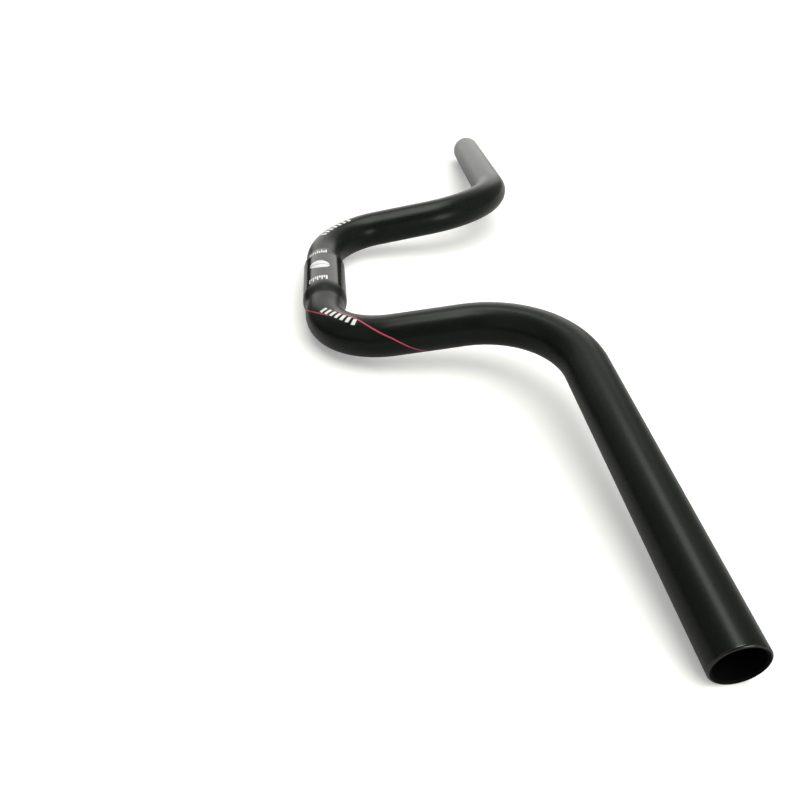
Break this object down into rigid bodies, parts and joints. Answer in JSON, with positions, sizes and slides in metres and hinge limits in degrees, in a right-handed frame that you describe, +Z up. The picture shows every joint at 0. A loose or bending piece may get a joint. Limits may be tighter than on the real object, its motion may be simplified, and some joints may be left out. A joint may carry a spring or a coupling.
{
  "type": "folding bicycle handlebar",
  "caption": "M-bend tubular handlebar for a folding bicycle: a thicker stem clamp section, arms that rise from it and straight, open-ended grips.",
  "frame": {"origin": "middle of the stem clamp section, on its axis", "axes": "+X along the clamp axis, +Y from the clamp towards the grips, +Z up from the floor that the bar lies on"},
  "size_m": [0.5824, 0.1547, 0.0409],
  "materials": {
    "bar": "satin black lacquer over carbon composite, glossier on the clamp section"
  },
  "bodies": {
    "root": {"handlebar": "bar"}
  },
  "joints": []
}
